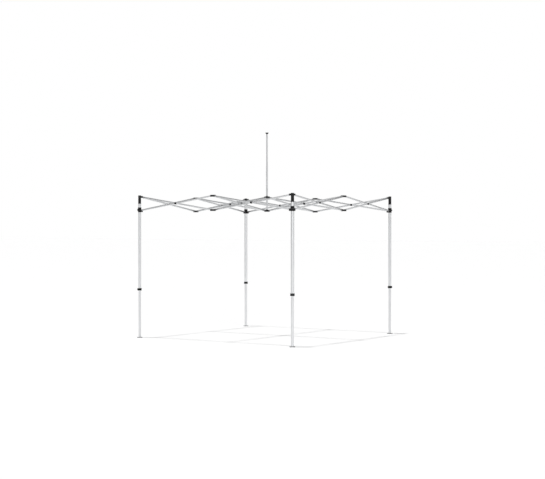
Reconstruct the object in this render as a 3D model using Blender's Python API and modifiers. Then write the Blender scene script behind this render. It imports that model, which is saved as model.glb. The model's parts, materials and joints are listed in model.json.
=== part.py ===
"""Pop-up canopy frame: four telescoping legs, twelve scissor pairs and a centre mast.

Units are metres and +Z is up. The floor is z = 0 and the mast stands on the Z axis.
Every bar lies along its own local X from the pin it turns on.
"""
import math

import bmesh
import bpy
from mathutils import Matrix, Vector

# Frame layout
LEG_SPACING = 2.92
UPPER_PIN_Z = 2.24
LOWER_PIN_Z = 2.03
MAST_TOP_Z = 3.295
CORNER_PIN_OFFSET = 0.044
HUB_PIN_OFFSET = 0.036
MIDDLE_PIN_OFFSET = 0.032

# Scissor bars
BAR_HEIGHT = 0.025
BAR_WIDTH = 0.012
BAR_WALL = 0.0013
BAR_OVERHANG = 0.007
BAR_LAYER_OFFSET = 0.008
RIVET_HEAD_RADIUS = 0.018
RIVET_HEAD_HEIGHT = 0.0045
RIVET_SIDES = 12
SPACER_RADIUS = 0.0165

# Pins and clearances
PIN_RADIUS = 0.003
BORE_RADIUS = 0.0037
PIN_SIDES = 8
GAP = 0.0003

# Connector mouldings
ARM_HALF_WIDTH = 0.0185
ARM_OVERHANG = 0.009
OPEN_SIDE_HEIGHT = 0.0095
CLOSED_SIDE_HEIGHT = 0.0185
SLIDER_EAR_DEPTH = 0.027
SLOT_WIDTH = 0.0128
SLOT_REACH = 0.0149
SLOT_ROOF = 0.0150
HUB_SHOULDER = 0.024
EDGE_CHAMFER = 0.0018

# Legs: hexagonal tubes, sizes across flats
OUTER_LEG_SIZE = 0.045
OUTER_LEG_BORE = 0.041
OUTER_LEG_TOP = 2.135
COLLAR_SIZE = 0.062
COLLAR_BOTTOM = 0.753
COLLAR_TOP = 0.789
INNER_LEG_SIZE = 0.038
INNER_LEG_BORE = 0.0348
INNER_LEG_TOP = 1.0
FOOT_WIDTH = 0.08
FOOT_THICKNESS = 0.006
FOOT_CHAMFER = 0.008

# Corner brackets and sliders
STEM_SIZE = 0.0425
PLUG_SIZE = 0.0395
PLUG_DEPTH = 0.045
BRACKET_TOP = 2.268
SLIDER_SIZE = 0.0520
SLIDER_BORE = 0.0466
SLIDER_BOTTOM = 2.001
SLIDER_TOP = 2.075

# Push buttons and the bosses round them
BUTTON_RADIUS = 0.006
BUTTON_BORE_RADIUS = 0.0067
BUTTON_SIDES = 12
BOSS_WIDTH = 0.022
SLIDER_BOSS_REACH = 0.036
COLLAR_BOSS_REACH = 0.037
BOSS_HALF_HEIGHT = 0.013
BUTTON_PROUD = 0.0035
SLIDER_BUTTON_INNER = 0.0275
LEG_BUTTON_INNER = 0.0255

# Centre mast
MAST_RADIUS = 0.0145
MAST_WALL = 0.0012
MAST_TUBE_TOP = 2.75
MAST_BORE_RADIUS = 0.0157
MAST_SOCKET_DEPTH = 0.012
MAST_SIDES = 12
EXTENSION_RADIUS = 0.0123
EXTENSION_BOTTOM = 2.45
CAP_RADIUS = 0.027
CAP_HEIGHT = 0.013

# Worked out from the sizes above
HALF_SPACING = LEG_SPACING / 2
SCISSOR_SPAN = HALF_SPACING - CORNER_PIN_OFFSET - MIDDLE_PIN_OFFSET
SCISSOR_RISE = UPPER_PIN_Z - LOWER_PIN_Z
MIDDLE_INWARD_OFFSET = CORNER_PIN_OFFSET + MIDDLE_PIN_OFFSET - HUB_PIN_OFFSET
BAR_LENGTH = math.hypot(SCISSOR_SPAN, SCISSOR_RISE)
BAR_TILT = math.atan2(SCISSOR_RISE, SCISSOR_SPAN)
HEX_CORNER = 2 / math.sqrt(3)

SIDES = ("east", "north", "west", "south")
CORNERS = ("ne", "nw", "sw", "se")

# Colour, roughness and metallic value of each finish
FINISHES = {
    "aluminium": ((0.78, 0.79, 0.80, 1.0), 0.35, 1.0),
    "black_plastic": ((0.025, 0.025, 0.027, 1.0), 0.55, 0.0),
    "grey_steel": ((0.20, 0.21, 0.22, 1.0), 0.50, 0.8),
    "button_plastic": ((0.10, 0.10, 0.11, 1.0), 0.45, 0.0),
}


def clear_scene():
    for old in list(bpy.data.objects):
        bpy.data.objects.remove(old, do_unlink=True)


def new_collection(name):
    collection = bpy.data.collections.new(name)
    bpy.context.scene.collection.children.link(collection)
    return collection


def new_material(name, finish):
    colour, roughness, metallic = FINISHES[finish]
    material = bpy.data.materials.new(name)
    material.use_nodes = True
    shader = material.node_tree.nodes["Principled BSDF"]
    shader.inputs["Base Color"].default_value = colour
    shader.inputs["Roughness"].default_value = roughness
    shader.inputs["Metallic"].default_value = metallic
    material.diffuse_color = colour
    return material


def add_mesh(bm, name, place, collection):
    bmesh.ops.recalc_face_normals(bm, faces=bm.faces)
    mesh = bpy.data.meshes.new(name)
    bm.to_mesh(mesh)
    bm.free()
    obj = bpy.data.objects.new(name, mesh)
    collection.objects.link(obj)
    obj.matrix_world = place
    return obj


def add_part(bm, name, finish, place):
    obj = add_mesh(bm, name, place, parts)
    obj.data.materials.append(new_material(name + "_finish", finish))
    return obj


def add_cutter(bm, name, place):
    obj = add_mesh(bm, name, place, cutters)
    obj.hide_render = True
    obj.display_type = "WIRE"
    return obj


def combine(obj, operand, operation):
    modifier = obj.modifiers.new(operand.name, "BOOLEAN")
    modifier.operation = operation
    modifier.solver = "EXACT"
    modifier.object = operand


def bevel_edges(obj, width):
    modifier = obj.modifiers.new("edges", "BEVEL")
    modifier.width = width
    modifier.segments = 1
    modifier.limit_method = "ANGLE"
    modifier.angle_limit = math.radians(40)


def add_box(bm, low, high):
    size = Vector(high) - Vector(low)
    centre = (Vector(high) + Vector(low)) / 2
    place = Matrix.Translation(centre) @ Matrix.Diagonal((*size, 1))
    bmesh.ops.create_cube(bm, size=1, matrix=place)


def add_rod(bm, radius, length, sides, place):
    """A closed rod centred on the origin of place, along its Z axis."""
    turn = Matrix.Rotation(math.pi / sides, 4, "Z")
    bmesh.ops.create_cone(bm, cap_ends=True, segments=sides, radius1=radius,
                          radius2=radius, depth=length, matrix=place @ turn)


def across(x, y, z):
    """A place whose Z axis runs along Y."""
    return Matrix.Translation((x, y, z)) @ Matrix.Rotation(math.pi / 2, 4, "X")


def prism(outline, bottom, top):
    """An upright block with the given outline."""
    bm = bmesh.new()
    corners = [bm.verts.new((x, y, bottom)) for x, y in outline]
    base = bm.faces.new(corners)
    grown = bmesh.ops.extrude_face_region(bm, geom=[base])
    raised = [v for v in grown["geom"] if isinstance(v, bmesh.types.BMVert)]
    bmesh.ops.translate(bm, verts=raised, vec=(0, 0, top - bottom))
    return bm


def profile_line(profile, closed=False):
    """A line through (radius, z) points, for turning round Z."""
    bm = bmesh.new()
    points = [bm.verts.new((radius, 0, z)) for radius, z in profile]
    for pair in zip(points, points[1:]):
        bm.edges.new(pair)
    if closed:
        bm.edges.new((points[-1], points[0]))
    return bm


def turn_profile(obj, sides):
    screw = obj.modifiers.new("turn", "SCREW")
    screw.steps = sides
    screw.render_steps = sides
    screw.use_merge_vertices = True
    screw.merge_threshold = 0.00001
    screw.use_smooth_shade = sides > 6
    return obj


def hexagon_profile(sizes):
    """Change across-flats sizes in a profile to corner radii."""
    return [(size / 2 * HEX_CORNER, z) for size, z in sizes]


def direction_place(index, x, z):
    """A place on the side with this index: local X points away from the mast."""
    return Matrix.Rotation(index * math.pi / 2, 4, "Z") @ Matrix.Translation((x, 0, z))


def corner_place(index, z=0):
    """A place on a leg axis whose local -X and -Y run along the two sides."""
    turn = Matrix.Rotation(index * math.pi / 2, 4, "Z")
    return turn @ Matrix.Translation((HALF_SPACING, HALF_SPACING, z))


def facing_out(place):
    """Turn a corner place until its X axis points away from the mast."""
    return place @ Matrix.Rotation(math.pi / 4, 4, "Z")


def add_bar(name, place, layer, riveted):
    """One scissor bar from its pin at the place's origin, layer +1 or -1 of its truss."""
    offset = layer * BAR_LAYER_OFFSET
    bm = bmesh.new()
    half_width = BAR_WIDTH / 2
    half_height = BAR_HEIGHT / 2
    add_box(bm, (-BAR_OVERHANG, offset - half_width, -half_height),
            (BAR_LENGTH + BAR_OVERHANG, offset + half_width, half_height))
    ends = [f for f in bm.faces if abs(f.normal.x) > 0.5]
    bmesh.ops.delete(bm, geom=ends, context="FACES_ONLY")
    bar = add_part(bm, name, "aluminium", place)
    wall = bar.modifiers.new("wall", "SOLIDIFY")
    wall.thickness = BAR_WALL
    wall.offset = -1
    wall.use_even_offset = True

    bores = bmesh.new()
    positions = [0, BAR_LENGTH] if riveted else [0, BAR_LENGTH / 2, BAR_LENGTH]
    for x in positions:
        add_rod(bores, BORE_RADIUS, BAR_WIDTH * 2, PIN_SIDES, across(x, offset, 0))
    combine(bar, add_cutter(bores, name + "_bores", place), "DIFFERENCE")
    if riveted:
        combine(bar, add_rivet(name + "_rivet", place, layer), "UNION")
    return bar


def add_rivet(name, place, layer):
    """The crossing rivet of a scissor, with the spacer between its two bars."""
    outer_face = BAR_LAYER_OFFSET + BAR_WIDTH / 2
    inner_face = BAR_LAYER_OFFSET - BAR_WIDTH / 2
    buried = BAR_WALL / 2
    profile = [
        (0, outer_face + RIVET_HEAD_HEIGHT),
        (RIVET_HEAD_RADIUS, outer_face + RIVET_HEAD_HEIGHT),
        (RIVET_HEAD_RADIUS, outer_face - buried),
        (PIN_RADIUS, outer_face - buried),
        (PIN_RADIUS, inner_face + buried),
        (SPACER_RADIUS, inner_face + buried),
        (SPACER_RADIUS, GAP - inner_face),
        (PIN_RADIUS, GAP - inner_face),
        (PIN_RADIUS, -outer_face - GAP),
        (RIVET_HEAD_RADIUS, -outer_face - GAP),
        (RIVET_HEAD_RADIUS, -outer_face - GAP - RIVET_HEAD_HEIGHT),
        (0, -outer_face - GAP - RIVET_HEAD_HEIGHT),
    ]
    spin = Matrix.Rotation(-layer * math.pi / 2, 4, "X")
    middle = place @ Matrix.Translation((BAR_LENGTH / 2, 0, 0)) @ spin
    rivet = add_cutter(profile_line(profile), name, middle)
    return turn_profile(rivet, RIVET_SIDES)


def arm_slots(arms, opens_up, name, place):
    """Slots and pins of a connector. Each arm is (quarter turn, pin distance, layer)."""
    slots = bmesh.new()
    pins = bmesh.new()
    rise = -SLOT_ROOF if opens_up else SLOT_ROOF
    for quarter, reach, layer in arms:
        offset = layer * BAR_LAYER_OFFSET
        turn = Matrix.Rotation(quarter * math.pi / 2, 4, "Z")
        slot = bmesh.new()
        low_z, high_z = sorted((rise, -rise * 2))
        add_box(slot, (reach - SLOT_REACH, offset - SLOT_WIDTH / 2, low_z),
                (reach + 3 * ARM_OVERHANG, offset + SLOT_WIDTH / 2, high_z))
        bmesh.ops.transform(slot, matrix=turn, verts=slot.verts)
        piece = bpy.data.meshes.new(name)
        slot.to_mesh(piece)
        slot.free()
        slots.from_mesh(piece)
        bpy.data.meshes.remove(piece)
        length = SLOT_WIDTH + 2 * BAR_WALL
        add_rod(pins, PIN_RADIUS, length, PIN_SIDES, turn @ across(reach, offset, 0))
    return (add_cutter(slots, name + "_slots", place),
            add_cutter(pins, name + "_pins", place))


def block_heights(opens_up):
    if opens_up:
        return -CLOSED_SIDE_HEIGHT, OPEN_SIDE_HEIGHT
    return -OPEN_SIDE_HEIGHT, CLOSED_SIDE_HEIGHT


def add_middle_connector(name, index, z, opens_up):
    """The connector half way along a side, with two side arms and one inward arm."""
    end = MIDDLE_PIN_OFFSET + ARM_OVERHANG
    inner_end = MIDDLE_INWARD_OFFSET + ARM_OVERHANG
    half = ARM_HALF_WIDTH
    outline = [(half, -end), (half, end), (-half, end), (-half, half),
               (-inner_end, half), (-inner_end, -half), (-half, -half), (-half, -end)]
    place = direction_place(index, HALF_SPACING, z)
    block = add_part(prism(outline, *block_heights(opens_up)), name, "black_plastic", place)
    bevel_edges(block, EDGE_CHAMFER)
    outward = -1 if opens_up else 1
    arms = [(1, MIDDLE_PIN_OFFSET, -outward), (3, MIDDLE_PIN_OFFSET, outward),
            (2, MIDDLE_INWARD_OFFSET, outward)]
    slots, pins = arm_slots(arms, opens_up, name, place)
    combine(block, slots, "DIFFERENCE")
    combine(block, pins, "UNION")


def add_hub(name, z, opens_up):
    """A centre hub with four arms and the bore for the mast."""
    end = HUB_PIN_OFFSET + ARM_OVERHANG
    half = ARM_HALF_WIDTH
    outline = []
    for quarter in range(4):
        turn = Matrix.Rotation(quarter * math.pi / 2, 2)
        for point in ((end, -half), (end, half), (HUB_SHOULDER, HUB_SHOULDER)):
            outline.append(tuple(turn @ Vector(point)))
    place = Matrix.Translation((0, 0, z))
    hub = add_part(prism(outline, *block_heights(opens_up)), name, "black_plastic", place)
    bevel_edges(hub, EDGE_CHAMFER)
    layer = -1 if opens_up else 1
    arms = [(quarter, HUB_PIN_OFFSET, layer) for quarter in range(4)]
    slots, pins = arm_slots(arms, opens_up, name, place)
    bore = bmesh.new()
    floor = -MAST_SOCKET_DEPTH if opens_up else -MAST_TOP_Z / 2
    depth = MAST_TOP_Z / 2 - floor
    middle = Matrix.Translation((0, 0, floor + depth / 2))
    add_rod(bore, MAST_BORE_RADIUS, depth, MAST_SIDES, middle)
    combine(hub, slots, "DIFFERENCE")
    combine(hub, add_cutter(bore, name + "_bore", place), "DIFFERENCE")
    combine(hub, pins, "UNION")


def ear_outline():
    """The plan of the two ears at a corner, cut off along the leg's outer flat."""
    end = CORNER_PIN_OFFSET + ARM_OVERHANG
    half = ARM_HALF_WIDTH
    flat = OUTER_LEG_SIZE / math.sqrt(2) - half
    return [(-end, -half), (-half, -half), (-half, -end), (half, -end),
            (half, flat), (flat, half), (-end, half)]


def hexagon_turn(place):
    """Turn a hexagonal part until one of its flats faces away from the mast."""
    return place @ Matrix.Rotation(math.pi / 4 + math.pi / 6, 4, "Z")


def add_corner_bracket(name, index):
    place = corner_place(index, UPPER_PIN_Z)
    ears = add_part(prism(ear_outline(), *block_heights(False)), name, "black_plastic", place)
    bevel_edges(ears, EDGE_CHAMFER)
    stem_foot = OUTER_LEG_TOP + GAP
    profile = hexagon_profile([
        (0, BRACKET_TOP), (STEM_SIZE - 2 * EDGE_CHAMFER, BRACKET_TOP),
        (STEM_SIZE, BRACKET_TOP - EDGE_CHAMFER), (STEM_SIZE, stem_foot),
        (PLUG_SIZE, stem_foot), (PLUG_SIZE, stem_foot - PLUG_DEPTH),
        (0, stem_foot - PLUG_DEPTH)])
    stem_place = hexagon_turn(corner_place(index))
    stem = turn_profile(add_cutter(profile_line(profile), name + "_stem", stem_place), 6)
    arms = [(2, CORNER_PIN_OFFSET, 1), (3, CORNER_PIN_OFFSET, -1)]
    slots, pins = arm_slots(arms, False, name, place)
    combine(ears, stem, "UNION")
    combine(ears, slots, "DIFFERENCE")
    combine(ears, pins, "UNION")


def add_boss(name, place, reach, z):
    """The block on a leg's outer flat that houses a push button."""
    bm = bmesh.new()
    add_box(bm, (OUTER_LEG_SIZE / 2 + GAP * 3, -BOSS_WIDTH / 2, z - BOSS_HALF_HEIGHT),
            (reach, BOSS_WIDTH / 2, z + BOSS_HALF_HEIGHT))
    return add_cutter(bm, name + "_boss", facing_out(place))


def along_x(x, z):
    """A place whose Z axis runs along X."""
    return Matrix.Translation((x, 0, z)) @ Matrix.Rotation(math.pi / 2, 4, "Y")


def button_bore(name, place, z):
    bm = bmesh.new()
    start = OUTER_LEG_SIZE / 4
    add_rod(bm, BUTTON_BORE_RADIUS, LEG_SPACING / 20, BUTTON_SIDES,
            along_x(start + LEG_SPACING / 40, z))
    return add_cutter(bm, name + "_button_bore", facing_out(place))


def add_button(name, place, inner, outer, z):
    bm = bmesh.new()
    add_rod(bm, BUTTON_RADIUS, outer - inner, BUTTON_SIDES, along_x(0, 0))
    middle = facing_out(place) @ Matrix.Translation(((inner + outer) / 2, 0, z))
    button = add_part(bm, name, "button_plastic", middle)
    bevel_edges(button, RIVET_HEAD_HEIGHT / 4)


def add_slider(name, index):
    """The sleeve that runs down the leg, with ears, and a boss for its button."""
    place = corner_place(index)
    hex_place = hexagon_turn(place)
    profile = hexagon_profile([
        (0, SLIDER_TOP), (SLIDER_SIZE - EDGE_CHAMFER, SLIDER_TOP),
        (SLIDER_SIZE, SLIDER_TOP - EDGE_CHAMFER),
        (SLIDER_SIZE, SLIDER_BOTTOM + EDGE_CHAMFER),
        (SLIDER_SIZE - EDGE_CHAMFER, SLIDER_BOTTOM), (0, SLIDER_BOTTOM)])
    sleeve = add_part(profile_line(profile), name, "black_plastic", hex_place)
    turn_profile(sleeve, 6)
    pin_place = corner_place(index, LOWER_PIN_Z)
    ear_block = prism(ear_outline(), -SLIDER_EAR_DEPTH, OPEN_SIDE_HEIGHT)
    ears = add_cutter(ear_block, name + "_ears", pin_place)
    bevel_edges(ears, EDGE_CHAMFER)
    button_z = (SLIDER_BOTTOM + SLIDER_TOP) / 2
    bore_profile = hexagon_profile([
        (0, BRACKET_TOP), (SLIDER_BORE, BRACKET_TOP), (SLIDER_BORE, 0), (0, 0)])
    bore = add_cutter(profile_line(bore_profile), name + "_bore", hex_place)
    turn_profile(bore, 6)
    arms = [(2, CORNER_PIN_OFFSET, -1), (3, CORNER_PIN_OFFSET, 1)]
    slots, pins = arm_slots(arms, True, name, pin_place)
    combine(sleeve, ears, "UNION")
    combine(sleeve, add_boss(name, place, SLIDER_BOSS_REACH, button_z), "UNION")
    combine(sleeve, slots, "DIFFERENCE")
    combine(sleeve, bore, "DIFFERENCE")
    combine(sleeve, button_bore(name, place, button_z), "DIFFERENCE")
    combine(sleeve, pins, "UNION")
    add_button(name + "_button", place, SLIDER_BUTTON_INNER,
               SLIDER_BOSS_REACH + BUTTON_PROUD, button_z)


def add_leg(suffix, index):
    place = corner_place(index)
    hex_place = hexagon_turn(place)
    name = "outer_leg_" + suffix
    profile = hexagon_profile([
        (OUTER_LEG_SIZE, OUTER_LEG_TOP), (OUTER_LEG_SIZE, COLLAR_TOP + EDGE_CHAMFER),
        (COLLAR_SIZE - 2 * EDGE_CHAMFER, COLLAR_TOP),
        (COLLAR_SIZE, COLLAR_TOP - EDGE_CHAMFER), (COLLAR_SIZE, COLLAR_BOTTOM),
        (OUTER_LEG_BORE, COLLAR_BOTTOM), (OUTER_LEG_BORE, OUTER_LEG_TOP)])
    leg = add_part(profile_line(profile, closed=True), name, "aluminium", hex_place)
    turn_profile(leg, 6)
    button_z = (COLLAR_BOTTOM + COLLAR_TOP) / 2
    combine(leg, add_boss(name, place, COLLAR_BOSS_REACH, button_z), "UNION")
    combine(leg, button_bore(name, place, button_z), "DIFFERENCE")
    add_button("leg_button_" + suffix, place, LEG_BUTTON_INNER,
               COLLAR_BOSS_REACH + BUTTON_PROUD, button_z)

    half = FOOT_WIDTH / 2
    cut = half - FOOT_CHAMFER
    outline = [(half, cut), (cut, half), (-cut, half), (-half, cut),
               (-half, -cut), (-cut, -half), (cut, -half), (half, -cut)]
    foot = prism(outline, 0, FOOT_THICKNESS)
    inner = add_part(foot, "inner_leg_" + suffix, "aluminium", facing_out(place))
    tube_profile = hexagon_profile([
        (INNER_LEG_SIZE, INNER_LEG_TOP), (INNER_LEG_SIZE, FOOT_THICKNESS / 2),
        (INNER_LEG_BORE, FOOT_THICKNESS / 2), (INNER_LEG_BORE, INNER_LEG_TOP)])
    tube_line = profile_line(tube_profile, closed=True)
    tube = turn_profile(add_cutter(tube_line, "inner_leg_tube_" + suffix, hex_place), 6)
    combine(inner, tube, "UNION")


def add_mast():
    bottom = LOWER_PIN_Z - MAST_SOCKET_DEPTH + GAP
    inner = MAST_RADIUS - MAST_WALL
    tube = [(MAST_RADIUS, MAST_TUBE_TOP), (MAST_RADIUS, bottom),
            (inner, bottom), (inner, MAST_TUBE_TOP)]
    turn = Matrix.Rotation(math.pi / MAST_SIDES, 4, "Z")
    tube_line = profile_line(tube, closed=True)
    turn_profile(add_part(tube_line, "mast_tube", "aluminium", turn), MAST_SIDES)

    cap_bottom = MAST_TOP_Z - CAP_HEIGHT
    inside = EXTENSION_RADIUS - MAST_WALL
    extension = [
        (0, MAST_TOP_Z), (CAP_RADIUS - EDGE_CHAMFER, MAST_TOP_Z),
        (CAP_RADIUS, MAST_TOP_Z - EDGE_CHAMFER), (CAP_RADIUS, cap_bottom),
        (EXTENSION_RADIUS, cap_bottom), (EXTENSION_RADIUS, EXTENSION_BOTTOM),
        (inside, EXTENSION_BOTTOM), (inside, cap_bottom), (0, cap_bottom)]
    extension_line = profile_line(extension)
    turn_profile(add_part(extension_line, "mast_extension", "aluminium", turn), MAST_SIDES)


def add_inner_scissor(side, index):
    falling = Matrix.Rotation(BAR_TILT, 4, "Y")
    rising = Matrix.Rotation(-BAR_TILT, 4, "Y")
    top = direction_place(index, HUB_PIN_OFFSET, UPPER_PIN_Z)
    bottom = direction_place(index, HUB_PIN_OFFSET, LOWER_PIN_Z)
    add_bar("inner_bar_down_" + side, top @ falling, 1, True)
    add_bar("inner_bar_up_" + side, bottom @ rising, -1, False)


def add_side_scissor(side, index, corner, way):
    """The scissor from a side's middle to one corner; way is +1 anticlockwise."""
    turn = Matrix.Rotation(way * math.pi / 2, 4, "Z")
    start = turn @ Matrix.Translation((MIDDLE_PIN_OFFSET, 0, 0))
    falling = Matrix.Rotation(BAR_TILT, 4, "Y")
    rising = Matrix.Rotation(-BAR_TILT, 4, "Y")
    top = direction_place(index, HALF_SPACING, UPPER_PIN_Z) @ start
    bottom = direction_place(index, HALF_SPACING, LOWER_PIN_Z) @ start
    suffix = side + "_" + corner
    add_bar("side_bar_down_" + suffix, top @ falling, -way, True)
    add_bar("side_bar_up_" + suffix, bottom @ rising, way, False)


clear_scene()
parts = new_collection("pop_up_canopy_frame")
cutters = new_collection("cutters")

add_hub("hub_top", UPPER_PIN_Z, False)
add_hub("hub_bottom", LOWER_PIN_Z, True)
add_mast()
for number, side_name in enumerate(SIDES):
    add_middle_connector("middle_top_" + side_name, number, UPPER_PIN_Z, False)
    add_middle_connector("middle_bottom_" + side_name, number, LOWER_PIN_Z, True)
    add_inner_scissor(side_name, number)
    add_side_scissor(side_name, number, CORNERS[number], 1)
    add_side_scissor(side_name, number, CORNERS[number - 1], -1)
for number, corner_name in enumerate(CORNERS):
    add_corner_bracket("corner_bracket_" + corner_name, number)
    add_slider("slider_" + corner_name, number)
    add_leg(corner_name, number)
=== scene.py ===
"""Looks of the pop-up canopy frame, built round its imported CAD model. Metres, +Z up."""
import json
import math

import bmesh
import bpy
from mathutils import Matrix, Vector


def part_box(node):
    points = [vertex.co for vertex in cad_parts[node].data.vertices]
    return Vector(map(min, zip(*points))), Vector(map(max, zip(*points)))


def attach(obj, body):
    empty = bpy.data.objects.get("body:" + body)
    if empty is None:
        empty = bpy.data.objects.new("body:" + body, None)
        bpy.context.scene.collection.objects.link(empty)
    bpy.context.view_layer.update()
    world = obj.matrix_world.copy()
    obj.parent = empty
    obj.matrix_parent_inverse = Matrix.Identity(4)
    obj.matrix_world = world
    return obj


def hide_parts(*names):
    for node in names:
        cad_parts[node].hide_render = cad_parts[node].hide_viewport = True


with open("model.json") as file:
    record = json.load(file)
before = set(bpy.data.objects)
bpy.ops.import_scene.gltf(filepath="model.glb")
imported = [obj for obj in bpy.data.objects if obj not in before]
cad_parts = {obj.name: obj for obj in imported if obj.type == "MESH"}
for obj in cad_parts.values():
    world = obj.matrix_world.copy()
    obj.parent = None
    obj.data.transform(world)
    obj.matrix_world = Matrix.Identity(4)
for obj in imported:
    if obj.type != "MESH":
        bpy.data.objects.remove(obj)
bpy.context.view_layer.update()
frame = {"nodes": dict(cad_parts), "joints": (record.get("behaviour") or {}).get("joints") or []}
joints = {joint["name"]: joint for joint in frame["joints"]}
SIDES = ("east", "north", "west", "south")
CORNERS = ("ne", "nw", "sw", "se")

# Layout, read from the frame
UPPER_PIN_Z = joints["fold"]["pos_m"][2]
LOWER_PIN_Z = joints["hub_bottom_pivot"]["pos_m"][2]
HUB_PIN_OFFSET = joints["fold"]["pos_m"][0]
MIDDLE_PIN_OFFSET = joints["side_up_east_ne"]["pos_m"][1]
foot_low, foot_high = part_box("inner_leg_ne")
HALF_SPACING = (foot_low.x + foot_high.x) / 2
CORNER_PIN_OFFSET = HALF_SPACING - joints["leg_ne_pivot"]["pos_m"][1]
MIDDLE_INWARD_OFFSET = HALF_SPACING - joints["middle_bottom_east_pivot"]["pos_m"][0]
SPAN = HALF_SPACING - CORNER_PIN_OFFSET - MIDDLE_PIN_OFFSET
RISE = UPPER_PIN_Z - LOWER_PIN_Z
BAR_LENGTH = math.hypot(SPAN, RISE)
BAR_TILT = math.atan2(RISE, SPAN)
COLLAR_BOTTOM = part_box("outer_leg_ne")[0].z
LEG_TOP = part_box("outer_leg_ne")[1].z
INNER_LEG_TOP = foot_high.z
MAST_BOTTOM, MAST_JOINT = (corner.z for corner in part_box("mast_tube"))
EXTENSION_BOTTOM, MAST_TOP = (corner.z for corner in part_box("mast_extension"))

# Sections, metres
BAR_HEIGHT = 0.025
BAR_WIDTH = 0.012
BAR_WALL = 0.0013
BAR_OVERHANG = 0.007
BAR_CORNER = 0.0016
LAYER_OFFSET = 0.008
ARM_HALF_WIDTH = 0.0185
OUTER_LEG = 0.045
OUTER_BORE = 0.041
INNER_LEG = 0.038
INNER_BORE = 0.0348
COLLAR = 0.062
COLLAR_HEIGHT = 0.036
SLIDER = 0.0520
FOOT_WIDTH = 0.08
FOOT_THICKNESS = 0.006
MAST_RADIUS = 0.0145
EXTENSION_RADIUS = 0.0123
MAST_WALL = 0.0012
MAST_SIDES = 40
TUBE_EDGE = 0.0003
LEG_EDGE = 0.0004
HEX_CORNER = 2 / math.sqrt(3)

# Fittings and finish, metres
CLEARANCE = 0.0003
SHARP_ANGLE = math.radians(28)
ROUND_SIDES = 32
WASHER = [(0.0070, 0), (0.0074, 0.0003), (0.0074, 0.0011), (0.0071, 0.0013)]
WASHER_THICKNESS = 0.0013
BOLT_SIZE = 0.010
PLUG_GAP = 0.0008
STUB_LENGTH = 0.004
RIVET_RADIUS = 0.0030
COLLAR_WAIST = COLLAR - 0.003
COLLAR_BAND = 0.007
COLLAR_WAIST_START = 0.0085
COLLAR_CHAMFER = 0.0022
COLLAR_CORNER = 0.006
COLLAR_SEAT = 0.004
BUTTON_HOLE_RADIUS = 0.0067
BUTTON_HOLE_START = 0.017
BUTTON_HOLE_END = 0.036
GUARD_HEIGHT = 0.0274
GUARD_WIDTH = 0.0234
LEG_GUARD_REACH = 0.037
SLIDER_GUARD_REACH = 0.0364
WELD_SIZE = INNER_LEG + 0.001
WELD_WIDTH = 0.005
WELD_HEIGHT = 0.0022
WELD_STEPS = 7
FOOT_EDGE = 0.0008
FOOT_CORNER = 0.011
RIM_HEIGHT = 0.006
RIM_PROUD = 0.0006
GRIP_PITCH = 0.0075
GRIP_WIDTH = 0.0024
GRIP_LENGTH = 0.016
GRIP_HEIGHT = 0.0011
STEM_FACE = 0.0208
LEG_RIVET_DROP = 0.022
HUB_PLATE_EXTRA = 0.0022
CAD_EDGE_WIDTH = 0.0007
CAD_EDGE_ANGLE = math.radians(32)


# ---------------------------------------------------------------- materials

ALUMINIUM_METALLIC = 0.90
STEEL_METALLIC = 0.8
PLASTIC_SPECULAR = 0.28
DUST_COLOUR = (0.19, 0.18, 0.165, 1.0)
EVENLY = (1, 1, 1)


class Nodes:
    """A small helper that adds and links shader nodes."""

    def __init__(self, name):
        self.material = bpy.data.materials.new(name)
        self.material.use_nodes = True
        self.tree = self.material.node_tree
        self.shader = self.tree.nodes["Principled BSDF"]

    def add(self, kind, **values):
        node = self.tree.nodes.new("ShaderNode" + kind)
        for key, value in values.items():
            if key in node.inputs:
                node.inputs[key].default_value = value
            else:
                setattr(node, key, value)
        return node

    def link(self, start, end):
        self.tree.links.new(start, end)

    def place(self, scale, space="Object"):
        coords = self.add("TexCoord")
        mapping = self.add("Mapping", Scale=scale)
        self.link(coords.outputs[space], mapping.inputs["Vector"])
        return mapping.outputs["Vector"]

    def noise(self, vector, size, detail=3.0, roughness=0.5):
        node = self.add("TexNoise", Scale=size, Detail=detail, Roughness=roughness)
        self.link(vector, node.inputs["Vector"])
        return node.outputs["Fac"]

    def spread(self, value, low, high, to_low, to_high):
        node = self.add("MapRange")
        names = ("From Min", "From Max", "To Min", "To Max")
        for key, number in zip(names, (low, high, to_low, to_high)):
            node.inputs[key].default_value = number
        self.link(value, node.inputs["Value"])
        return node.outputs["Result"]

    def blend(self, factor, first, second):
        node = self.add("Mix", data_type="RGBA")
        self.link(factor, node.inputs["Factor"])
        for socket, colour in ((node.inputs[6], first), (node.inputs[7], second)):
            if isinstance(colour, tuple):
                socket.default_value = colour
            else:
                self.link(colour, socket)
        return node.outputs[2]

    def bump(self, height, strength, distance, below=None):
        node = self.add("Bump", Strength=strength, Distance=distance)
        self.link(height, node.inputs["Height"])
        if below is not None:
            self.link(below, node.inputs["Normal"])
        return node.outputs["Normal"]


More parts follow.
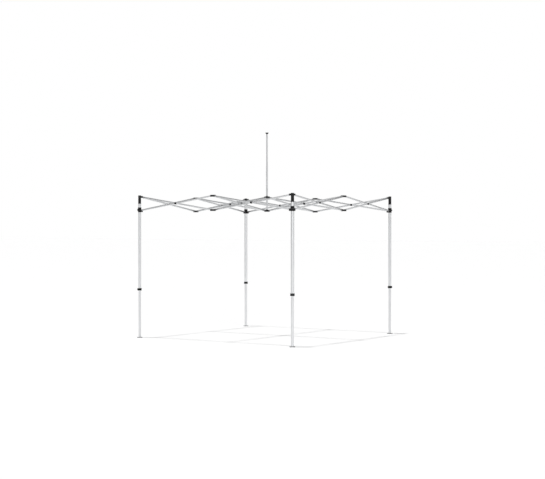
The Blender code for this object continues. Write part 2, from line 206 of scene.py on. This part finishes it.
def brushed_metal(name, grain, light, dark, rough):
    """Anodised aluminium with fine lines drawn along the tube's own length."""
    nodes = Nodes(name)
    along = nodes.place(grain)
    lines = nodes.noise(along, 1.0, 4.0, 0.7)
    plain = nodes.place(EVENLY)
    clouds = nodes.noise(plain, 7.0, 4.0, 0.6)
    scuffs = nodes.noise(plain, 260.0, 2.0, 0.6)
    tone = nodes.blend(nodes.spread(lines, 0.3, 0.7, 0, 1), dark, light)
    stain = nodes.spread(clouds, 0.42, 0.75, 0, 0.22)
    dull = tuple(channel * 0.72 for channel in light[:3]) + (1.0,)
    tone = nodes.blend(stain, tone, dull)
    nicks = nodes.spread(scuffs, 0.70, 0.78, 0, 0.5)
    tone = nodes.blend(nicks, tone, tuple(channel * 0.55 for channel in dark[:3]) + (1.0,))
    nodes.link(tone, nodes.shader.inputs["Base Color"])
    nodes.link(nodes.spread(lines, 0.25, 0.75, rough - 0.06, rough + 0.10),
               nodes.shader.inputs["Roughness"])
    nodes.shader.inputs["Metallic"].default_value = ALUMINIUM_METALLIC
    nodes.link(nodes.bump(lines, 0.15, 0.0001), nodes.shader.inputs["Normal"])
    return nodes.material


def moulded_plastic(name, colour, worn, rough):
    """Glass-filled nylon: fine moulded grain, dusty tops, paler rubbed edges."""
    nodes = Nodes(name)
    plain = nodes.place(EVENLY)
    grain = nodes.noise(plain, 900.0, 2.0, 0.6)
    patches = nodes.noise(plain, 38.0, 5.0, 0.65)
    geometry = nodes.add("NewGeometry")
    rubbed = nodes.spread(geometry.outputs["Pointiness"], 0.53, 0.62, 0, 0.55)
    tone = nodes.blend(rubbed, colour, worn)
    up = nodes.add("SeparateXYZ")
    nodes.link(geometry.outputs["Normal"], up.inputs[0])
    top = nodes.spread(up.outputs["Z"], 0.6, 1.0, 0, 1)
    dust = nodes.add("Math", operation="MULTIPLY")
    nodes.link(top, dust.inputs[0])
    nodes.link(nodes.spread(patches, 0.4, 0.7, 0.0, 0.12), dust.inputs[1])
    tone = nodes.blend(dust.outputs[0], tone, DUST_COLOUR)
    nodes.link(tone, nodes.shader.inputs["Base Color"])
    nodes.link(nodes.spread(patches, 0.3, 0.7, rough - 0.08, rough + 0.12),
               nodes.shader.inputs["Roughness"])
    nodes.shader.inputs["Specular IOR Level"].default_value = PLASTIC_SPECULAR
    nodes.link(nodes.bump(grain, 0.35, 0.0002), nodes.shader.inputs["Normal"])
    return nodes.material


def plated_steel(name, colour, worn, rough):
    """Fastener and foot plate steel, with a mottled plating."""
    nodes = Nodes(name)
    plain = nodes.place(EVENLY)
    mottle = nodes.noise(plain, 120.0, 4.0, 0.6)
    fine = nodes.noise(plain, 1400.0, 2.0, 0.5)
    nodes.link(nodes.blend(nodes.spread(mottle, 0.4, 0.68, 0, 1), colour, worn),
               nodes.shader.inputs["Base Color"])
    nodes.link(nodes.spread(mottle, 0.3, 0.7, rough, rough + 0.2),
               nodes.shader.inputs["Roughness"])
    nodes.shader.inputs["Metallic"].default_value = STEEL_METALLIC
    nodes.link(nodes.bump(fine, 0.2, 0.0001), nodes.shader.inputs["Normal"])
    return nodes.material


ALONG_BAR = (6, 900, 900)
ALONG_LEG = (700, 700, 5)
ALONG_MAST = (800, 800, 6)
bar_metal = brushed_metal("bar_aluminium_look", ALONG_BAR, (0.84, 0.85, 0.86, 1.0),
                          (0.64, 0.65, 0.66, 1.0), 0.38)
leg_metal = brushed_metal("leg_aluminium_look", ALONG_LEG, (0.88, 0.89, 0.90, 1.0),
                          (0.70, 0.71, 0.72, 1.0), 0.30)
mast_metal = brushed_metal("mast_aluminium_look", ALONG_MAST, (0.84, 0.85, 0.86, 1.0),
                           (0.66, 0.67, 0.68, 1.0), 0.32)
black_plastic = moulded_plastic("connector_plastic_look", (0.006, 0.006, 0.0065, 1.0),
                                (0.040, 0.040, 0.042, 1.0), 0.60)
button_plastic = moulded_plastic("button_plastic_look", (0.075, 0.075, 0.080, 1.0),
                                 (0.20, 0.20, 0.20, 1.0), 0.42)
fastener_steel = plated_steel("fastener_steel_look", (0.11, 0.11, 0.115, 1.0),
                              (0.055, 0.055, 0.058, 1.0), 0.34)
foot_steel = plated_steel("foot_steel_look", (0.17, 0.175, 0.18, 1.0),
                          (0.11, 0.11, 0.115, 1.0), 0.42)


# ---------------------------------------------------------------- mesh helpers

def piece(name, bm, material, body, place=Matrix.Identity(4)):
    """Make an object from bm, and let it ride on a CAD body."""
    bmesh.ops.recalc_face_normals(bm, faces=bm.faces)
    mesh = bpy.data.meshes.new(name)
    bm.to_mesh(mesh)
    bm.free()
    mesh.materials.append(material)
    mesh.shade_smooth()
    mesh.set_sharp_from_angle(angle=SHARP_ANGLE)
    obj = bpy.data.objects.new(name, mesh)
    bpy.context.scene.collection.objects.link(obj)
    obj.matrix_world = place
    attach(obj, body)
    return obj


def rounded_outline(corners, radius, steps=4):
    """A closed outline with each corner replaced by an arc of steps + 1 points."""
    outline = []
    count = len(corners)
    for index, corner in enumerate(corners):
        here = Vector(corner)
        before = (Vector(corners[index - 1]) - here).normalized()
        after = (Vector(corners[(index + 1) % count]) - here).normalized()
        half = before.angle(after) / 2
        centre = here + (before + after).normalized() * radius / math.sin(half)
        start = here + before * radius / math.tan(half) - centre
        end = here + after * radius / math.tan(half) - centre
        for step in range(steps + 1):
            share = step / steps
            direction = start.slerp(end, share) if start.angle(end) > 0.001 else start
            outline.append(tuple(centre + direction.normalized() * radius))
    return outline


def hexagon(size, radius, steps=4):
    """A hexagon of this size across flats, with a flat facing +X."""
    reach = size / 2 * HEX_CORNER
    angles = [math.radians(30 + 60 * index) for index in range(6)]
    corners = [(reach * math.cos(angle), reach * math.sin(angle)) for angle in angles]
    return rounded_outline(corners, radius, steps)


def rectangle(width, height, radius, steps=3):
    """A rounded rectangle outline about the origin."""
    x, y = width / 2, height / 2
    return rounded_outline([(x, -y), (x, y), (-x, y), (-x, -y)], radius, steps)


def scaled(outline, inset):
    """The outline moved in towards the origin by about inset."""
    points = [Vector(point) for point in outline]
    return [tuple(point * (1 - inset / point.length)) for point in points]


def loft(bm, rings, closed=False):
    """Skin a list of rings of 3-D points; cap the ends unless the loft is closed."""
    made = [[bm.verts.new(point) for point in ring] for ring in rings]
    pairs = list(zip(made, made[1:]))
    if closed:
        pairs.append((made[-1], made[0]))
    for lower, upper in pairs:
        count = len(lower)
        for index in range(count):
            after = (index + 1) % count
            bm.faces.new((lower[index], lower[after], upper[after], upper[index]))
    if not closed:
        bm.faces.new(made[0])
        bm.faces.new(made[-1])


def at_height(outline, z):
    """The 2-D outline as a 3-D ring at this height."""
    return [(x, y, z) for x, y in outline]


def tube(outline, inner, bottom, top, edge):
    """An open tube along Z with small chamfers at its mouths."""
    bm = bmesh.new()
    loft(bm, [
        at_height(scaled(outline, edge), bottom), at_height(outline, bottom + edge),
        at_height(outline, top - edge), at_height(scaled(outline, edge), top),
        at_height(inner, top), at_height(inner, bottom)], closed=True)
    return bm


def stack(bm, layers, place=Matrix.Identity(4)):
    """A closed solid through (outline, z) layers."""
    rings = []
    for outline, z in layers:
        rings.append([tuple(place @ Vector((x, y, z))) for x, y in outline])
    loft(bm, rings)


def circle(radius, sides=24):
    """A circle outline about the origin."""
    turns = [2 * math.pi * index / sides for index in range(sides)]
    return [(radius * math.cos(turn), radius * math.sin(turn)) for turn in turns]


def turned(bm, profile, place=Matrix.Identity(4), sides=24):
    """A solid of revolution about the place's Z axis, from (radius, z) points."""
    stack(bm, [(circle(radius, sides), z) for radius, z in profile], place)


def drill(item, place, radius, start, end):
    """Cut a round hole along the place's Z axis through a finished piece."""
    bm = bmesh.new()
    outline = circle(radius, ROUND_SIDES)
    stack(bm, [(outline, start), (outline, end)], place)
    bmesh.ops.recalc_face_normals(bm, faces=bm.faces)
    rod = bpy.data.meshes.new("hole_rod")
    bm.to_mesh(rod)
    bm.free()
    cutter = bpy.data.objects.new("hole_rod", rod)
    bpy.context.scene.collection.objects.link(cutter)
    hole = item.modifiers.new("hole", "BOOLEAN")
    hole.operation = "DIFFERENCE"
    hole.solver = "EXACT"
    hole.object = cutter
    bpy.context.view_layer.update()
    depsgraph = bpy.context.evaluated_depsgraph_get()
    cut = bpy.data.meshes.new_from_object(item.evaluated_get(depsgraph))
    cut.set_sharp_from_angle(angle=SHARP_ANGLE)
    item.modifiers.clear()
    item.data = cut
    bpy.data.objects.remove(cutter)


def side_place(index, x, z):
    """A point at distance x out along a side's middle line, with local +X outward."""
    return Matrix.Rotation(index * math.pi / 2, 4, "Z") @ Matrix.Translation((x, 0, z))


def corner_place(index, z=0):
    """On a leg axis, local -X and -Y run along the two sides."""
    turn = Matrix.Rotation(index * math.pi / 2, 4, "Z")
    return turn @ Matrix.Translation((HALF_SPACING, HALF_SPACING, z))


def facing_out(place):
    """The corner's place turned so that local +X points out along the diagonal."""
    return place @ Matrix.Rotation(math.pi / 4, 4, "Z")


# ---------------------------------------------------------------- fasteners

def hex_bolt(bm, place):
    """A domed hex bolt head and washer on the face at the place's origin, along +Z."""
    turned(bm, WASHER, place)
    head = hexagon(BOLT_SIZE, 0.0004, 1)
    lifted = place @ Matrix.Translation((0, 0, WASHER_THICKNESS))
    stack(bm, [(head, 0), (head, 0.0030), (scaled(head, 0.0006), 0.0038),
               (scaled(head, 0.0022), 0.0042)], lifted)


def lock_nut(bm, place):
    """A lock nut with its collar, washer and the end of the bolt."""
    turned(bm, WASHER, place)
    lifted = place @ Matrix.Translation((0, 0, WASHER_THICKNESS))
    body = hexagon(BOLT_SIZE, 0.0004, 1)
    stack(bm, [(scaled(body, 0.0004), 0), (body, 0.0005), (body, 0.0032),
               (scaled(body, 0.0006), 0.0036)], lifted)
    turned(bm, [(0.0044, 0.0034), (0.0044, 0.0048), (0.0038, 0.0053)], lifted)
    turned(bm, [(0.0029, 0.0050), (0.0029, 0.0060), (0.0025, 0.0064)], lifted)


def arm_bolts(name, body, arms, place, half_width):
    """Bolt heads and nuts on both cheeks of each (quarter turn, pin distance) arm."""
    bm = bmesh.new()
    for quarter, reach in arms:
        arm = place @ Matrix.Rotation(quarter * math.pi / 2, 4, "Z")
        for way, fastener in ((1, hex_bolt), (-1, lock_nut)):
            face = Matrix.Translation((reach, way * half_width, 0))
            fastener(bm, arm @ face @ Matrix.Rotation(-way * math.pi / 2, 4, "X"))
    piece(name, bm, fastener_steel, body)


# ---------------------------------------------------------------- bars

def add_bar(node, place, layer, riveted):
    """A drawn rectangular tube with rounded corners and nylon end plugs."""
    upright = Matrix.Rotation(math.pi / 2, 4, "Y")
    centre = place @ Matrix.Translation((0, layer * LAYER_OFFSET, 0))
    bore_height = BAR_HEIGHT - 2 * BAR_WALL
    bore_width = BAR_WIDTH - 2 * BAR_WALL
    outline = rectangle(BAR_HEIGHT, BAR_WIDTH, BAR_CORNER)
    inner = rectangle(bore_height, bore_width, 0.0006)
    bm = tube(outline, inner, -BAR_OVERHANG, BAR_LENGTH + BAR_OVERHANG, TUBE_EDGE)
    bmesh.ops.transform(bm, matrix=upright, verts=bm.verts)
    bar = piece(node + "_tube", bm, bar_metal, node, centre)

    plugs = bmesh.new()
    plug = rectangle(BAR_HEIGHT - PLUG_GAP, BAR_WIDTH - PLUG_GAP, 0.0014)
    stub = rectangle(bore_height - 0.0002, bore_width - 0.0002, 0.0005)
    for end, way in ((-BAR_OVERHANG, -1), (BAR_LENGTH + BAR_OVERHANG, 1)):
        aim = Matrix.Translation((end, 0, 0)) @ Matrix.Rotation(way * math.pi / 2, 4, "Y")
        stack(plugs, [(stub, -STUB_LENGTH), (stub, 0), (plug, 0), (plug, 0.0006),
                      (scaled(plug, 0.0005), 0.0010)], aim)
    end_plugs = piece(node + "_plugs", plugs, black_plastic, node, centre)
    shown = [bar, end_plugs]
    if riveted:
        shown += add_rivet(node, place, layer)
    for item in shown:
        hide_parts(node)


def add_rivet(node, place, layer):
    """The crossing rivet: a black cap on each face and a nylon spacer between the bars."""
    middle = place @ Matrix.Translation((BAR_LENGTH / 2, 0, 0))
    face = LAYER_OFFSET + BAR_WIDTH / 2
    gap = LAYER_OFFSET - BAR_WIDTH / 2
    caps = bmesh.new()
    for way in (1, -1):
        lift = face if way == layer else face + CLEARANCE
        aim = Matrix.Rotation(-way * math.pi / 2, 4, "X") @ Matrix.Translation((0, 0, lift))
        turned(caps, [(0.0174, 0), (0.0180, 0.0006), (0.0180, 0.0030), (0.0172, 0.0040),
                      (0.0125, 0.0046), (0.0118, 0.0058), (0.0104, 0.0068),
                      (0.0070, 0.0075), (0.0010, 0.0078)], middle @ aim, ROUND_SIDES)
    cap = piece(node + "_rivet_caps", caps, black_plastic, node)
    spacer = bmesh.new()
    aim = Matrix.Rotation(-layer * math.pi / 2, 4, "X")
    turned(spacer, [(0.0160, CLEARANCE - gap), (0.0165, 0.0006 - gap),
                    (0.0165, gap - 0.0003), (0.0160, gap)], middle @ aim, ROUND_SIDES)
    turned(spacer, [(RIVET_RADIUS, -face), (RIVET_RADIUS, face)], middle @ aim, 16)
    washer = piece(node + "_spacer", spacer, black_plastic, node)
    return [cap, washer]


# ---------------------------------------------------------------- legs

def add_leg(index, suffix):
    """A leg: outer tube, collar and button guard, inner tube, foot plate and weld."""
    leg_body = "leg_" + suffix
    inner_body = "inner_leg_" + suffix
    out = facing_out(corner_place(index))
    wall = tube(hexagon(OUTER_LEG, 0.003), hexagon(OUTER_BORE, 0.0015),
                COLLAR_BOTTOM + COLLAR_SEAT, LEG_TOP, LEG_EDGE)
    leg = piece("leg_tube_" + suffix, wall, leg_metal, leg_body, out)

    collar = bmesh.new()
    bottom, top = COLLAR_BOTTOM, COLLAR_BOTTOM + COLLAR_HEIGHT
    big = hexagon(COLLAR, COLLAR_CORNER)
    waist = hexagon(COLLAR_WAIST, COLLAR_CORNER)
    bore = hexagon(OUTER_LEG + 0.0004, 0.003)
    throat = hexagon(INNER_LEG + 0.002, 0.002)
    lip = scaled(big, COLLAR_CHAMFER)
    loft(collar, [
        at_height(lip, bottom), at_height(big, bottom + COLLAR_CHAMFER),
        at_height(big, bottom + COLLAR_BAND), at_height(waist, bottom + COLLAR_WAIST_START),
        at_height(waist, top - COLLAR_WAIST_START), at_height(big, top - COLLAR_BAND),
        at_height(big, top - COLLAR_CHAMFER), at_height(lip, top),
        at_height(bore, top), at_height(bore, bottom + COLLAR_SEAT),
        at_height(throat, bottom + COLLAR_SEAT), at_height(throat, bottom)], closed=True)
    ring = piece("leg_collar_" + suffix, collar, black_plastic, leg_body,
                 out)
    middle = (bottom + top) / 2
    button_axis = out @ Matrix.Translation((0, 0, middle))
    button_axis = button_axis @ Matrix.Rotation(math.pi / 2, 4, "Y")
    for item in (leg, ring):
        drill(item, button_axis, BUTTON_HOLE_RADIUS, BUTTON_HOLE_START, BUTTON_HOLE_END)
    housing = add_housing("leg_collar_housing_" + suffix, leg_body, out,
                          OUTER_LEG / 2 + 0.005, LEG_GUARD_REACH, middle)
    for item in (leg, ring, housing):
        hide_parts("outer_leg_" + suffix)

    inner = tube(hexagon(INNER_LEG, 0.0026), hexagon(INNER_BORE, 0.0014),
                 FOOT_THICKNESS, INNER_LEG_TOP, LEG_EDGE)
    low = piece("inner_tube_" + suffix, inner, leg_metal, inner_body, out)
    plate = bmesh.new()
    flat = rectangle(FOOT_WIDTH, FOOT_WIDTH, FOOT_CORNER, 5)
    face = scaled(flat, FOOT_EDGE)
    stack(plate, [(face, 0), (flat, FOOT_EDGE), (flat, FOOT_THICKNESS - FOOT_EDGE),
                  (face, FOOT_THICKNESS)])
    foot = piece("foot_plate_" + suffix, plate, foot_steel, inner_body, out)
    bead = bmesh.new()
    rings = []
    for step in range(WELD_STEPS):
        turn = 2 * math.pi * step / WELD_STEPS
        size = WELD_SIZE + WELD_WIDTH * math.cos(turn)
        height = FOOT_THICKNESS + WELD_HEIGHT * math.sin(turn)
        rings.append(at_height(hexagon(size, 0.004), height))
    loft(bead, rings, closed=True)
    weld = piece("foot_weld_" + suffix, bead, foot_steel, inner_body, out)
    for item in (low, foot, weld):
        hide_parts(inner_body)


def add_housing(name, body, out, start, reach, z):
    """The rounded block round a push button, with a ring-shaped guard."""
    bm = bmesh.new()
    aim = out @ Matrix.Translation((0, 0, z)) @ Matrix.Rotation(math.pi / 2, 4, "Y")
    outside = rectangle(GUARD_HEIGHT, GUARD_WIDTH, 0.0045, 5)
    mouth = [tuple(Vector(point).normalized() * BUTTON_HOLE_RADIUS) for point in outside]
    loft(bm, [
        at_height(outside, start), at_height(outside, reach - 0.0012),
        at_height(scaled(outside, 0.0012), reach),
        at_height(mouth, reach), at_height(mouth, start)], closed=True)
    return piece(name, bm, black_plastic, body, aim)


def add_slider_trim(index, suffix):
    """Rims, grip ribs, a button guard and the ear bolts of a slider."""
    body = "slider_" + suffix
    out = facing_out(corner_place(index))
    low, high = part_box(body)
    bottom, top = low.z, high.z
    rims = bmesh.new()
    proud = hexagon(SLIDER + 0.0024, 0.006)
    bore = hexagon(SLIDER - 0.0060, 0.004)
    for start, end in ((bottom - RIM_PROUD, bottom + RIM_HEIGHT),
                       (top - RIM_HEIGHT, top + RIM_PROUD)):
        loft(rims, [
            at_height(scaled(proud, 0.001), start), at_height(proud, start + 0.001),
            at_height(proud, end - 0.001), at_height(scaled(proud, 0.001), end),
            at_height(bore, end), at_height(bore, start)], closed=True)
    piece("slider_rims_" + suffix, rims, black_plastic, body, out)
    middle = (bottom + top) / 2
    add_housing("slider_housing_" + suffix, body, out,
                SLIDER / 2 - 0.002, SLIDER_GUARD_REACH, middle)
    ribs = bmesh.new()
    for quarter in (60, 120, 180, 240, 300):
        for step in range(-2, 3):
            aim = out @ Matrix.Rotation(math.radians(quarter), 4, "Z")
            face = Matrix.Translation((SLIDER / 2 - 0.0006, 0, middle + step * GRIP_PITCH))
            aim = aim @ face @ Matrix.Rotation(math.pi / 2, 4, "Y")
            bar = rectangle(GRIP_WIDTH, GRIP_LENGTH, 0.0011, 2)
            stack(ribs, [(bar, 0), (bar, GRIP_HEIGHT), (scaled(bar, 0.0004), 0.0015)], aim)
    piece("slider_ribs_" + suffix, ribs, black_plastic, body)
    arms = [(2, CORNER_PIN_OFFSET), (3, CORNER_PIN_OFFSET)]
    place = corner_place(index, LOWER_PIN_Z)
    arm_bolts("slider_bolts_" + suffix, body, arms, place, ARM_HALF_WIDTH)


def add_bracket_trim(index, suffix):
    """The flange over the leg's mouth, the leg-top rivets and the ear bolts."""
    body = "leg_" + suffix
    out = facing_out(corner_place(index))
    flange = bmesh.new()
    wide = hexagon(OUTER_LEG + 0.002, 0.003)
    core = hexagon(OUTER_LEG - 0.006, 0.003)
    loft(flange, [
        at_height(scaled(wide, 0.0006), LEG_TOP + 0.0004), at_height(wide, LEG_TOP + 0.001),
        at_height(wide, LEG_TOP + 0.0035), at_height(scaled(wide, 0.001), LEG_TOP + 0.0045),
        at_height(core, LEG_TOP + 0.0045), at_height(core, LEG_TOP + 0.0004)], closed=True)
    piece("bracket_flange_" + suffix, flange, black_plastic, body, out)
    ribs = bmesh.new()
    stem_top = UPPER_PIN_Z - 0.020
    for quarter in range(6):
        aim = out @ Matrix.Rotation(math.radians(60 * quarter), 4, "Z")
        aim = aim @ Matrix.Translation((STEM_FACE, 0, (LEG_TOP + stem_top) / 2))
        aim = aim @ Matrix.Rotation(math.pi / 2, 4, "Y")
        panel = rectangle(stem_top - LEG_TOP - 0.018, 0.0135, 0.003, 4)
        stack(ribs, [(panel, 0), (panel, 0.0008), (scaled(panel, 0.0007), 0.0014)], aim)
    piece("bracket_panels_" + suffix, ribs, black_plastic, body)
    rivets = bmesh.new()
    for quarter in (1, 2, 4, 5):
        aim = out @ Matrix.Rotation(math.radians(60 * quarter), 4, "Z")
        aim = aim @ Matrix.Translation((OUTER_LEG / 2, 0, LEG_TOP - LEG_RIVET_DROP))
        aim = aim @ Matrix.Rotation(math.pi / 2, 4, "Y")
        turned(rivets, [(0.0044, 0), (0.0044, 0.0004), (0.0038, 0.0011), (0.0024, 0.0017),
                        (0.0008, 0.0020)], aim, 20)
    piece("leg_rivets_" + suffix, rivets, leg_metal, body)
    arms = [(2, CORNER_PIN_OFFSET), (3, CORNER_PIN_OFFSET)]
    place = corner_place(index, UPPER_PIN_Z)
    arm_bolts("bracket_bolts_" + suffix, body, arms, place, ARM_HALF_WIDTH)


# ---------------------------------------------------------------- hubs and mast

def add_hub_trim():
    """Bolts on both hubs, and a collar round the mast on each."""
    for body, z in (("hub_top", UPPER_PIN_Z), ("hub_bottom", LOWER_PIN_Z)):
        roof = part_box(body)[1].z
        arms = [(quarter, HUB_PIN_OFFSET) for quarter in range(4)]
        place = Matrix.Translation((0, 0, z))
        arm_bolts(body + "_bolts", body, arms, place, ARM_HALF_WIDTH + HUB_PLATE_EXTRA)
        collar = bmesh.new()
        bore = circle(MAST_RADIUS + 0.0007, ROUND_SIDES)
        outside = circle(0.0225, ROUND_SIDES)
        base = circle(0.0245, ROUND_SIDES)
        low, high = roof - 0.001, roof + 0.006
        loft(collar, [
            at_height(base, low), at_height(outside, low + 0.004),
            at_height(outside, high - 0.0015), at_height(scaled(outside, 0.0015), high),
            at_height(bore, high), at_height(bore, low)], closed=True)
        piece(body + "_collar", collar, black_plastic, body)


def add_mast():
    """The mast's two tubes, the bush where they meet, and the cap."""
    lower = tube(circle(MAST_RADIUS, MAST_SIDES), circle(MAST_RADIUS - MAST_WALL, MAST_SIDES),
                 MAST_BOTTOM, MAST_JOINT, TUBE_EDGE)
    shaft = piece("mast_lower_tube", lower, mast_metal, "hub_bottom")
    bush = tube(circle(MAST_RADIUS + 0.0006, MAST_SIDES),
                circle(EXTENSION_RADIUS + 0.0002, MAST_SIDES),
                MAST_JOINT - 0.010, MAST_JOINT + 0.004, 0.0008)
    sleeve = piece("mast_bush", bush, mast_metal, "hub_bottom")
    for item in (shaft, sleeve):
        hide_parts("mast_tube")
    upper = tube(circle(EXTENSION_RADIUS, MAST_SIDES),
                 circle(EXTENSION_RADIUS - MAST_WALL, MAST_SIDES),
                 EXTENSION_BOTTOM, MAST_TOP - 0.004, TUBE_EDGE)
    shaft = piece("mast_upper_tube", upper, mast_metal, "mast_extension")
    cap = bmesh.new()
    turned(cap, [(0.0145, MAST_TOP - 0.022), (0.0160, MAST_TOP - 0.0215),
                 (0.0165, MAST_TOP - 0.013), (0.0250, MAST_TOP - 0.011),
                 (0.0268, MAST_TOP - 0.009), (0.0270, MAST_TOP - 0.005),
                 (0.0262, MAST_TOP - 0.002), (0.0240, MAST_TOP - 0.0004),
                 (0.0200, MAST_TOP)], sides=MAST_SIDES)
    knob = piece("mast_cap", cap, black_plastic, "mast_extension")
    for item in (shaft, knob):
        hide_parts("mast_extension")


def dress_cad():
    """Round the edges of the CAD mouldings that stay, and give them their finish."""
    for name, node in frame["nodes"].items():
        if name.startswith(("hub_", "middle_", "corner_", "slider_")):
            material = button_plastic if name.endswith("button") else black_plastic
        elif name.startswith("leg_button"):
            material = button_plastic
        else:
            continue
        for slot in node.material_slots:
            slot.material = material
        edges = node.modifiers.new("edges", "BEVEL")
        edges.width = CAD_EDGE_WIDTH
        edges.segments = 2
        edges.limit_method = "ANGLE"
        edges.angle_limit = CAD_EDGE_ANGLE


dress_cad()
add_hub_trim()
add_mast()
falling = Matrix.Rotation(BAR_TILT, 4, "Y")
rising = Matrix.Rotation(-BAR_TILT, 4, "Y")
for index, side in enumerate(SIDES):
    top = side_place(index, HUB_PIN_OFFSET, UPPER_PIN_Z)
    bottom = side_place(index, HUB_PIN_OFFSET, LOWER_PIN_Z)
    add_bar("inner_bar_down_" + side, top @ falling, 1, True)
    add_bar("inner_bar_up_" + side, bottom @ rising, -1, False)
    arms = [(1, MIDDLE_PIN_OFFSET), (2, MIDDLE_INWARD_OFFSET), (3, MIDDLE_PIN_OFFSET)]
    for level, z in (("top", UPPER_PIN_Z), ("bottom", LOWER_PIN_Z)):
        body = "middle_" + level + "_" + side
        place = side_place(index, HALF_SPACING, z)
        arm_bolts(body + "_bolts", body, arms, place, ARM_HALF_WIDTH)
    for way, corner in ((1, CORNERS[index]), (-1, CORNERS[index - 1])):
        turn = Matrix.Rotation(way * math.pi / 2, 4, "Z")
        start = turn @ Matrix.Translation((MIDDLE_PIN_OFFSET, 0, 0))
        upper = side_place(index, HALF_SPACING, UPPER_PIN_Z) @ start
        lower = side_place(index, HALF_SPACING, LOWER_PIN_Z) @ start
        suffix = side + "_" + corner
        add_bar("side_bar_down_" + suffix, upper @ falling, -way, True)
        add_bar("side_bar_up_" + suffix, lower @ rising, way, False)
for index, suffix in enumerate(CORNERS):
    add_leg(index, suffix)
    add_slider_trim(index, suffix)
    add_bracket_trim(index, suffix)


# ---------------------------------------------------------------- floor, light, camera

FLOOR_SIZE = 240.0
FLOOR_COLOUR = (0.90, 0.90, 0.90, 1.0)
FLOOR_ROUGHNESS = 0.9
floor_mesh = bmesh.new()
bmesh.ops.create_grid(floor_mesh, x_segments=1, y_segments=1, size=FLOOR_SIZE / 2)
floor_data = bpy.data.meshes.new("floor")
floor_mesh.to_mesh(floor_data)
floor_mesh.free()
floor = bpy.data.objects.new("floor", floor_data)
bpy.context.scene.collection.objects.link(floor)
floor_look = Nodes("floor_look")
floor_look.shader.inputs["Base Color"].default_value = FLOOR_COLOUR
floor_look.shader.inputs["Roughness"].default_value = FLOOR_ROUGHNESS
floor_data.materials.append(floor_look.material)

DOME_STRENGTH = 0.26
BACKDROP_STRENGTH = 1.0
DOME_COLOUR = (1.0, 1.0, 1.0, 1.0)
world = bpy.data.worlds.new("studio")
bpy.context.scene.world = world
world.use_nodes = True
background = world.node_tree.nodes["Background"]
background.inputs["Color"].default_value = DOME_COLOUR
background.inputs["Strength"].default_value = DOME_STRENGTH
backdrop = world.node_tree.nodes.new("ShaderNodeBackground")
backdrop.inputs["Color"].default_value = DOME_COLOUR
backdrop.inputs["Strength"].default_value = BACKDROP_STRENGTH
ray = world.node_tree.nodes.new("ShaderNodeLightPath")
either = world.node_tree.nodes.new("ShaderNodeMixShader")
world.node_tree.links.new(ray.outputs["Is Camera Ray"], either.inputs[0])
world.node_tree.links.new(background.outputs[0], either.inputs[1])
world.node_tree.links.new(backdrop.outputs[0], either.inputs[2])
output = world.node_tree.nodes["World Output"]
world.node_tree.links.new(either.outputs[0], output.inputs["Surface"])
bpy.context.scene.view_settings.view_transform = "Standard"


def add_sun(name, strength, spread, azimuth, elevation):
    """A sun lamp with a wide disc, as a soft box far away; angles in degrees."""
    light = bpy.data.lights.new(name, "SUN")
    light.energy = strength
    light.angle = math.radians(spread)
    lamp = bpy.data.objects.new(name, light)
    lamp.rotation_euler = (math.radians(90 - elevation), 0, math.radians(azimuth))
    bpy.context.scene.collection.objects.link(lamp)


add_sun("overhead_softbox", 2.52, 3.5, -56, 83)
add_sun("front_softbox", 0.60, 35, 52, 22)
add_sun("right_softbox", 0.22, 50, 115, 15)
add_sun("left_softbox", 0.16, 40, -5, 15)

CAMERA_AZIMUTH = math.radians(34.54)
CAMERA_PAN = math.radians(-0.24)
CAMERA_PITCH = math.radians(-0.61)
CAMERA_DISTANCE = 21.42
CAMERA_HEIGHT = 1.789
LENS = 87.13
SENSOR_WIDTH = 36.0
FAR_CLIP = 400
camera_data = bpy.data.cameras.new("camera")
camera_data.lens = LENS
camera_data.sensor_width = SENSOR_WIDTH
camera_data.clip_end = FAR_CLIP
camera = bpy.data.objects.new("camera", camera_data)
camera.location = (math.sin(CAMERA_AZIMUTH) * CAMERA_DISTANCE,
                   -math.cos(CAMERA_AZIMUTH) * CAMERA_DISTANCE, CAMERA_HEIGHT)
camera.rotation_euler = (math.pi / 2 + CAMERA_PITCH, 0, CAMERA_AZIMUTH + CAMERA_PAN)
bpy.context.scene.collection.objects.link(camera)
bpy.context.scene.camera = camera
